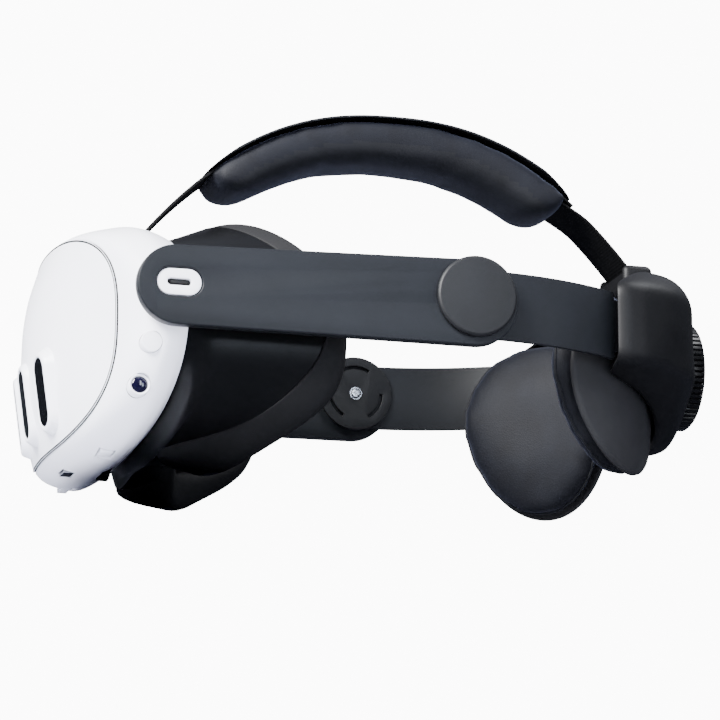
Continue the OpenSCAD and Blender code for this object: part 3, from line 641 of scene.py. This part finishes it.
def make_face():
    outer = [frame_ring(0, 0.6, -127), frame_ring(0, 0.3, -119)] + [frame_ring(i / 28) for i in range(29)]
    edge = [frame_ring(1, 0.5), frame_ring(1, 1.5)]
    inner = [frame_ring(i / 6, 3) for i in range(6, -1, -1)] + [frame_ring(0, 3.6, -127)]
    shell = loft("face_shell", outer + edge + inner)
    carve(shell, [block("cutter", (-40, -131, -60), (40, -118.5, -38))])
    settle(shell, "face_interface", "black_satin", SATIN_BLACK, "face_frame", angle=40)
    # the soft rim: front face, bulges under the cheeks, outer side, rounded rear edge, inside
    section = [(0, 4, 0, 0), (0, 0.4, 4, 0), (0.01, -0.1, 11, -1.6), (0.02, -0.3, 15, -1.6),
               (0.03, -0.5, 16.4, -0.8), (0.04, -0.5, 16.7, 0.4), (0.05, -0.6, 16, 2), (0.07, -0.6, 13.6, 3.6),
               (0.1, -0.7, 10, 4.8), (0.14, -0.8, 6, 5.5), (0.2, -0.9, 2.4, 5.8), (0.3, -1.1, 0.5, 5.8),
               (0.4, -1.2, 0, 5.7), (0.55, -1.3, 0, 5.4), (0.7, -1.2, 0, 4.9), (0.83, -1.0, 0, 4.2),
               (0.93, -0.2, 0, 3.4), (1, 1.6, 0, 2.4), (1.02, 3.8, 0, 1.6), (1, 6, 0, 0.8), (0.94, 8, 0, 0.4),
               (0.75, 8.6, 0, 0), (0.5, 8, 0, 0), (0.2, 6.6, 0, 0)]
    gasket = loft("face_gasket_foam", [rim_ring(*row) for row in section])
    modifier(gasket, "SMOOTH", factor=0.5, iterations=2)
    settle(gasket, "face_interface", "gasket_soft", FOAM, "face_gasket")


# ---------------------------------------------------------------- rear housing
PLATE_R, HEAD_Y, SLOT_Y = 66, 30, 62
HOUSING_W, HOUSING_BACK, DIAL_Z = 73, 107, -3.8


def housing_half(u, top):
    """Half height of the housing at a share u of its half width."""
    return 15.6 + 17.8 * cos(pi / 2 * u) ** 0.8 if top else 18.4 + 17.2 * cos(pi / 2 * u) ** 1.4


def housing_front(x, top):
    """Depth of the housing's front edge, which follows the head below and a bow above."""
    if top:
        return max(SLOT_Y, 88 - 26 * (x / 70) ** 2)
    return max(SLOT_Y, HEAD_Y + sqrt(max(0, (PLATE_R + 1.8) ** 2 - x * x)))


# share of the way back, of the full width and of the full height
HOUSING_STEPS = [(0, 0.978, 0.95), (0.07, 0.993, 0.982), (0.16, 0.992, 0.997), (0.3, 0.965, 1),
                 (0.52, 0.87, 0.997), (0.72, 0.726, 0.985), (0.88, 0.56, 0.95), (1, 0.39, 0.8)]
# pocket that the strap drops into, and its mouth, each from its lowest to its highest corner
STRAP_POCKET = ((-13.5, 86, 20), (13.5, 96, 50))
STRAP_MOUTH = ((-13.5, 82, 34), (13.5, 88, 50))


def housing_ring(row, wall=0.0, back=0.0):
    k, w, tall = row
    w *= HOUSING_W
    points = []
    for t in circle(OUTLINE):
        c, top = cos(t), sin(t) >= 0
        u = abs(c) ** 0.75
        front = housing_front(w * u, top)
        half = max(0, housing_half(min(1, u), top) * tall * abs(sin(t)) ** 0.09 - wall)
        points.append(((w - wall) * (u if c >= 0 else -u), front + (HOUSING_BACK - front) * k - back,
                       half if top else -half))
    return even(points, RING)


def make_housing():
    steps = 28
    outer = [housing_ring(along(HOUSING_STEPS, 7 * i / steps)) for i in range(steps + 1)]
    front = [housing_ring((0.005, 0.962, 0.93)), housing_ring((0, 0.968, 0.936))]
    back = [housing_ring((1, 0.3, 0.66)), housing_ring((1, 0.1, 0.2))]
    shell = loft("rear_housing_shell", front + outer + back, closed=False, cap=True)
    modifier(shell, "SMOOTH", factor=0.5, iterations=3)
    # hollow, from the front
    hollow = [housing_ring(along(HOUSING_STEPS, 7 * i / 12), 1.2 if i < 3 else 1.8, 0.6 if i else 3)
              for i in range(10)]
    carve(shell, [loft("cutter", hollow, closed=False, cap=True),
                  block("cutter", *STRAP_POCKET),
                  rod("cutter", (0, 105, DIAL_Z), (0, 1, 0), 4, 12)])
    settle(shell, "rear_housing", "charcoal", HOUSING_BLACK, "housing_shell", angle=40)
    # collar that the strap drops into
    collar = block("strap_collar", (-15.5, 84.5, 26), (15.5, 97, 37.6))
    bevel(collar, 2.6, 5, 40)
    carve(collar, [block("cutter", *STRAP_POCKET), block("cutter", *STRAP_MOUTH)])
    settle(collar, "rear_housing", "charcoal", HOUSING_BLACK, angle=40)


DIAL_R, DIAL_FRONT, DIAL_BACK = 21.6, 107.6, 116.7


def make_dial():
    """Dial with fine ribs along its rim, a chamfer at each end and a dished face."""
    ribs, count = 60, 60 * 8
    # depth, radius and share of the rib's full depth
    section = [(DIAL_FRONT, 10, 0), (DIAL_FRONT, DIAL_R - 1.6, 0), (DIAL_FRONT + 0.7, DIAL_R - 0.7, 0.4),
               (DIAL_FRONT + 1.1, DIAL_R, 1), (DIAL_BACK - 1.6, DIAL_R, 1), (DIAL_BACK - 1.1, DIAL_R - 0.4, 1),
               (DIAL_BACK - 0.4, DIAL_R - 1.2, 0.4),
               (DIAL_BACK, DIAL_R - 2.2, 0), (DIAL_BACK, DIAL_R - 5.2, 0), (DIAL_BACK - 0.9, DIAL_R - 6, 0),
               (DIAL_BACK - 1, 6, 0), (DIAL_BACK - 1, 1, 0)]
    rings = []
    for y, r, rib in section:
        ring = []
        for a in circle(count):
            depth = 0.75 * rib * max(0, cos(a * ribs)) ** 2
            ring.append(((r - depth) * cos(a), y, DIAL_Z + (r - depth) * sin(a)))
        rings.append(ring)
    dial = loft("tightening_dial", rings, closed=False, cap=True)
    settle(dial, "dial", "black_satin", SATIN_BLACK, "dial", angle=45)


# ---------------------------------------------------------------- padded soft goods
def inflate(piece, voxel, cap, pressure, smoothing):
    """Fills a pad as a cushion is filled: remesh, cloth under pressure for 20 frames, movement capped."""
    modifier(piece, "REMESH", mode="VOXEL", voxel_size=voxel * MM)
    start = [v.co.copy() for v in piece.data.vertices]
    cloth = piece.modifiers.new("cloth", "CLOTH")
    cloth.settings.use_pressure = True
    cloth.settings.uniform_pressure_force = pressure
    cloth.settings.effector_weights.gravity = 0
    cloth.settings.quality = 6
    cloth.point_cache.frame_start, cloth.point_cache.frame_end = 1, 20
    for f in range(1, 21):
        bpy.context.scene.frame_set(f)
    puffed = piece.evaluated_get(bpy.context.evaluated_depsgraph_get())
    ends = [v.co.copy() for v in puffed.data.vertices]
    piece.modifiers.remove(cloth)
    bpy.context.scene.frame_set(1)
    for v, a, b in zip(piece.data.vertices, start, ends):
        move = b - a
        if move.length > cap * MM:
            move *= cap * MM / move.length
        v.co = a + move
    modifier(piece, "SMOOTH", factor=0.5, iterations=smoothing)
    modifier(piece, "SUBSURF", levels=1, render_levels=1)


def on_surface(piece, places, proud):
    """Moves places to the nearest point of a piece, a little proud of it."""
    moved = []
    for p in places:
        found, spot, normal, face = piece.closest_point_on_mesh(at(*p))
        moved.append(tuple((spot + normal * proud * MM - PIVOT) / MM))
    return moved


LOBE_ANGLE, PAD_MIDDLE, WING_MIDDLE = 48, -19, -22
PLATE_LOW, PLATE_HIGH = -26, 14


def make_bridge():
    """Curved plate that carries both wings, with the heads of its four screws."""
    section = [(63.8, 0.4), (64.1, 0.1), (65.7, 0.1), (66, 0.4)]
    outline = [(r, PLATE_LOW + e) for r, e in section] + [(r, PLATE_HIGH - e) for r, e in reversed(section)]
    rings = []
    for i in range(49):
        angle = -35 + 70 * i / 48
        rings.append([around(r, angle, z) for r, z in outline])
    bridge = loft("plate_bridge", rings, closed=False, cap=True)
    settle(bridge, "rear_housing", "charcoal", PLATE_GREY, "back_plate", angle=40)
    for x, side in ((-10, "right"), (10, "left")):
        for z, level in ((4, "upper"), (-16, "lower")):
            depth = HEAD_Y + sqrt(63.8 ** 2 - 100) - 0.3
            head = rod("plate_screw_%s_%s" % (level, side), (x, depth, z), (0, 1, 0), 2.2, 1.2, 48)
            cuts = [block("cutter", (x - w, depth - 1, z - h), (x + w, depth - 0.15, z + h))
                    for w, h in ((1.3, 0.25), (0.25, 1.3))]
            bevel(head, 0.25, 2, 30)
            carve(head, cuts)
            settle(head, "rear_housing", "steel", DARK_STEEL, angle=30)


def around(r, angle, z):
    """Place at a radius and an angle, in degrees, round the upright axis of the head."""
    return r * sin(radians(angle)), HEAD_Y + r * cos(radians(angle)), z


def lobe_ring(r, half_angle, half_h, z0, side, count=72):
    """Ring of one lobe of the cushion or of a wing of the plate, slightly egg shaped."""
    ring = []
    for t in circle(count):
        x, y, z = around(r, LOBE_ANGLE + half_angle * cos(t) * (1 + 0.12 * sin(t)), z0 + half_h * sin(t))
        ring.append((side * x, y, z))
    return ring


def make_back():
    for side, name in ((1, "left"), (-1, "right")):
        # radius, half angle and half height
        rows = [(51.2, 20, 24), (51.2, 26.6, 31.4), (52.6, 30.2, 34.8), (56.4, 31.8, 36.4),
                (60.5, 31.8, 36.4), (63.4, 30.4, 34.6)]
        rings = [lobe_ring(r, a, h, PAD_MIDDLE, side) for r, a, h in rows]
        pad = loft("back_pad_" + name, rings, closed=False, cap=True)
        inflate(pad, 4, 2.4, 4, 9)
        settle(pad, "rear_housing", "cushion_hide", HIDE, *(["back_cushion"] if side > 0 else []))
        path = on_surface(pad, lobe_ring(59.5, 34, 39, PAD_MIDDLE, side, 120), 0.1)
        welt = tube("back_pad_welt_" + name, path, 0.6, closed=True)
        settle(welt, "rear_housing", "cushion_hide", SMOOTH_HIDE)
        rows = [(63.9, 26.4, 32), (64.0, 27.4, 33), (64.6, 28, 33.4), (65.5, 27.9, 33.3), (66.1, 27.2, 32.6),
                (66.3, 26, 31.4), (66.8, 12, 15)]
        rings = [lobe_ring(r, a, h, WING_MIDDLE, side) for r, a, h in rows]
        wing = loft("plate_wing_" + name, rings, closed=False, cap=True)
        settle(wing, "rear_housing", "charcoal", PLATE_GREY, angle=50)


# ---------------------------------------------------------------- top strap
CROWN_Y, CROWN_H, STRAP_W, PAD_W, PAD_T = -11, 90.3, 25, 36, 11.4
PAD_Y0, PAD_Y1, LOOP_Y, LOOP_Z = -86, 64, -116, 33.5
WEB_FRONT, WEB_LENGTH, WEB_TOP, WEB_BOTTOM = -115, 181, 1.4, 3
# the tail comes up out of the pad over TAIL_RISE, ending at TAIL_UP
TAIL_FRONT, TAIL_LENGTH, TAIL_TOP, TAIL_SINK, TAIL_T, TAIL_UP, TAIL_RISE = 55, 38, 1.5, 2.3, 1.4, 74, 14


def strap_z(y):
    """Height of the strap's upper face."""
    return CROWN_H - 22.2 * (abs(y - CROWN_Y) / 69.7) ** 2.35


def strap_slope(y):
    return (strap_z(y + 0.1) - strap_z(y - 0.1)) / 0.2


def off_strap(y, depth):
    """Place at a depth below the strap's upper face, square to it."""
    slope = strap_slope(y)
    size = sqrt(1 + slope * slope)
    return y + depth * slope / size, strap_z(y) - depth / size


def strap_section(y, width, top, bottom, corner, lower=None):
    """Rounded flat section of a strap layer, as a ring; lower is the roundness of its underside."""
    ring = []
    half, tall = width / 2, (bottom - top) / 2
    for t in circle(40):
        bend = corner if sin(t) > 0 or lower is None else lower
        u = half * power(cos(t), bend)
        depth = (top + bottom) / 2 - tall * power(sin(t), bend)
        py, pz = off_strap(y, depth)
        ring.append((u, py, pz))
    return ring


def stations(y0, y1, count):
    """Even steps with closer ones at both ends, where a pad rounds off."""
    return [y0 + (y1 - y0) * (0.5 - 0.5 * cos(pi * i / count)) for i in range(count + 1)]


def make_strap():
    rings = [strap_section(WEB_FRONT + WEB_LENGTH * i / 80, STRAP_W, WEB_TOP, WEB_BOTTOM, 0.4)
             for i in range(81)]
    strap = loft("strap_webbing", rings, closed=False, cap=True)
    # rear end of the strap, on the housing: it slides inside the pad as the housing moves
    rings = []
    for i in range(33):
        y = TAIL_FRONT + TAIL_LENGTH * i / 32
        sunk = max(0, min(1, (TAIL_UP - y) / TAIL_RISE))
        depth = TAIL_TOP + TAIL_SINK * sunk * sunk * (3 - 2 * sunk)
        rings.append(strap_section(y, STRAP_W - 0.2, depth, depth + TAIL_T, 0.4))
    tail = loft("strap_tail", rings, closed=False, cap=True)
    settle(tail, "rear_housing", "black_satin", NYLON, angle=40)
    loop = [[(x * STRAP_W / 2, LOOP_Y + r * cos(a), LOOP_Z + r * sin(a)) for a in circle(40)]
            for x, r in ((-1, 1.5), (-1, 2.8), (-0.98, 3.1), (0.98, 3.1), (1, 2.8), (1, 1.5))]
    turn = loft("strap_turn", loop)
    settle(turn, "top_strap", "black_satin", NYLON, angle=40)
    settle(strap, "top_strap", "black_satin", NYLON, "strap_band", angle=40)
    rings = []
    for y in stations(PAD_Y0, PAD_Y1, 60):
        end = min(1, (max(0.02, min(y - PAD_Y0, PAD_Y1 - y)) / 12) ** 0.5)
        rings.append(strap_section(y, PAD_W * (0.66 + 0.34 * end), 1.1 * (1 - end), 1.3, 0.35))
    plate = loft("crown_plate", rings, closed=False, cap=True)
    settle(plate, "top_strap", "charcoal", SATIN_BLACK, "top_pad_plate", angle=40)
    rings = []
    for y in stations(PAD_Y0, PAD_Y1, 64):
        end = min(1, (max(0.02, min(y - PAD_Y0, PAD_Y1 - y)) / 6) ** 0.45)
        bottom = 3.2 + (PAD_T + 2.2) * (0.3 + 0.7 * end)
        rings.append(strap_section(y, (PAD_W - 0.4) * (0.82 + 0.18 * end), 1.5, bottom, 0.28, 0.45))
    pad = loft("crown_pad", rings, closed=False, cap=True)
    inflate(pad, 4, 1.2, 3, 5)
    pad.data.materials.append(HIDE)
    pad.data.materials.append(SMOOTH_HIDE)
    seam = 3.3 + PAD_T * 0.68
    for f in pad.data.polygons:
        c = (f.center - PIVOT) / MM
        if below_strap(c.y, c.z) > seam:
            f.material_index = 1
    settle(pad, "top_strap", "cushion_hide", HIDE, "top_cushion")


def below_strap(y, z):
    """Depth of a place below the strap's upper face."""
    here = y
    for _ in range(4):
        slope = strap_slope(here)
        step = ((y - here) + (z - strap_z(here)) * slope) / (1 + slope * slope)
        here += step
    return sqrt((y - here) ** 2 + (z - strap_z(here)) ** 2)


# ---------------------------------------------------------------- the rest of the frame
def finish_nodes():
    """Gives each CAD node that stays its material."""
    wanted = {"white_shell": WHITE, "black_glass": WINDOW, "lens_clear": LENS, "black_satin": SATIN_BLACK,
              "slate_satin": SLATE, "charcoal": CHARCOAL, "gasket_soft": FOAM, "cushion_hide": HIDE,
              "steel": STEEL, "board": BOARD, "display": SCREEN}
    for name, shape in frame["nodes"].items():
        shape.data.materials.clear()
        shape.data.materials.append(wanted[SLOT_OF[name]])


def screw_heads():
    """Cross-recessed head on each pivot pin, facing the head."""
    for side, name in ((1, "left"), (-1, "right")):
        head = rod("pivot_screw_" + name, (side * 77.9, 0, 0), (side, 0, 0), 2.1, 0.8, 48)
        cuts = [block("cutter", (side * 77.4 - 0.35, -1.3, -0.25), (side * 77.4 + 0.35, 1.3, 0.25)),
                block("cutter", (side * 77.4 - 0.35, -0.25, -1.3), (side * 77.4 + 0.35, 0.25, 1.3))]
        bevel(head, 0.2, 2, 30)
        carve(head, cuts)
        settle(head, "visor", "steel", STEEL, angle=30)


def make_inlet():
    """Near-black block in the charging inlet, painted shade of its deep well, with the tongue that the plug
    slides over.
    """
    low, high = span("left_port_insert")
    y, z = (low.y + high.y) / 2, (low.z + high.z) / 2
    well = block("inlet_shade_block", (high.x - 3.2, y - 4.4, z - 1.24), (high.x - 1.1, y + 4.4, z + 1.24))
    bevel(well, 1.1, 6, 40)
    settle(well, "visor", "black_satin", PAINTED_GAP_SHADE, angle=40)
    tongue = block("inlet_tongue", (high.x - 2.2, y - 3.1, z - 0.36), (high.x - 0.5, y + 3.1, z + 0.36))
    bevel(tongue, 0.2, 2, 40)
    settle(tongue, "visor", "charcoal", CHARCOAL, angle=40)


def make_floor():
    bpy.ops.mesh.primitive_plane_add(size=6, location=(0, 0, -0.0005))
    floor = bpy.context.active_object
    floor.name = "studio_floor"
    # seen from above it is a pale card, but mirrored rays see a dim copy of it, painted shade in its
    # reflections; from below it lets the light and the view through
    material = bpy.data.materials.new("pale_card")
    material.use_nodes = True
    tree = material.node_tree
    card = tree.nodes["Principled BSDF"]
    card.inputs["Base Color"].default_value = linear("#D3D5DE")
    card.inputs["Roughness"].default_value = 0.9
    clear = node(tree, "ShaderNodeBsdfTransparent")
    side = node(tree, "ShaderNodeNewGeometry")
    path = node(tree, "ShaderNodeLightPath")
    dim = node(tree, "ShaderNodeBsdfDiffuse", Color=linear("#30323A"))
    seen = node(tree, "ShaderNodeMixShader",
                {0: path.outputs["Is Glossy Ray"], 1: card.outputs["BSDF"], 2: dim.outputs[0]})
    mix = node(tree, "ShaderNodeMixShader",
               {0: side.outputs["Backfacing"], 1: seen.outputs[0], 2: clear.outputs[0]})
    tree.links.new(mix.outputs[0], tree.nodes["Material Output"].inputs["Surface"])
    floor.data.materials.append(material)


def make_world():
    """Pale studio: the backdrop is bright, and mirrored rays see darker walls that grow lighter with height."""
    world = bpy.data.worlds.new("studio")
    bpy.context.scene.world = world
    world.use_nodes = True
    tree = world.node_tree
    room = tree.nodes["Background"]
    heading = node(tree, "ShaderNodeTexCoord").outputs["Generated"]
    split = node(tree, "ShaderNodeSeparateXYZ", {0: heading})
    height = node(tree, "ShaderNodeMapRange", {"Value": split.outputs["Z"]}, interpolation_type="SMOOTHSTEP")
    for socket, value in (("From Min", -0.1), ("From Max", 0.9), ("To Min", 0.01), ("To Max", 0.35)):
        height.inputs[socket].default_value = value
    tint = node(tree, "ShaderNodeValToRGB", {"Fac": height.outputs["Result"]})
    for stop, place, colour in zip(tint.color_ramp.elements, (0.0, 0.3), ("#7880BC", "#F4F6FF")):
        stop.position, stop.color = place, linear(colour)
    tree.links.new(tint.outputs["Color"], room.inputs["Color"])
    room.inputs["Strength"].default_value = 1.7
    walls = node(tree, "ShaderNodeBackground", {"Strength": height.outputs["Result"]})
    walls.inputs["Color"].default_value = linear("#D5DDF2")
    bright = node(tree, "ShaderNodeBackground", Strength=14.0)
    path = node(tree, "ShaderNodeLightPath")
    mirror = node(tree, "ShaderNodeMixShader",
                  {0: path.outputs["Is Glossy Ray"], 1: room.outputs[0], 2: walls.outputs[0]})
    mix = node(tree, "ShaderNodeMixShader",
               {0: path.outputs["Is Camera Ray"], 1: mirror.outputs[0], 2: bright.outputs[0]})
    tree.links.new(mix.outputs[0], tree.nodes["World Output"].inputs["Surface"])


make_camera()
make_world()
# place from the pivot line in metres, size in metres, watts and colour
LAMPS = {
    "key_left_above": ((0.75, -1.0, 0.8), (0.7, 0.7), 115, (1, 1, 1)),
    "arm_glow": ((0.6, 0.02, 0.16), (0.06, 0.2), 0.55, (0.86, 0.92, 1)),
    "frame_glow": ((0.6, 0.12, 0.08), (0.07, 0.16), 0.45, (0.75, 0.85, 1)),
    "low_side_glow": ((0.5, 0.45, 0.04), (0.14, 0.2), 0.45, (0.9, 0.94, 1)),
    "top_back": ((0.1, 0.7, 1.0), (0.7, 0.5), 9, (0.95, 0.97, 1)),
}
for lamp_name, (spot, size, watts, colour) in LAMPS.items():
    softbox(lamp_name, PIVOT + Vector(spot), size, watts, colour)
make_floor()
finish_nodes()
make_shell()
make_cover()
for index, side_name in ((1, "left"), (0, "middle"), (-1, "right")):
    make_window(index, side_name)
make_side_cameras()
make_face()
for side_name in ("left", "right"):
    soft_edged("side_arm_" + side_name, "arm_" + side_name, 0.7, SLATE)
    soft_edged("port_insert_" + side_name, side_name + "_port_insert", 0.35, WHITE)
    soft_edged("rear_band_" + side_name, "band_" + side_name, 0.4, SLATE, angle=50)
    soft_edged("hinge_disc_" + side_name, "inner_disc_" + side_name, 0.2, CHARCOAL)
    soft_edged("pivot_cover_" + side_name, "pivot_cap_" + side_name, 0.35, CHARCOAL)
screw_heads()
make_inlet()
soft_edged("power_key", "power_button", 0.5, WHITE)
soft_edged("volume_key", "volume_rocker", 0.5, WHITE)
make_housing()
make_dial()
make_bridge()
make_back()
make_strap()
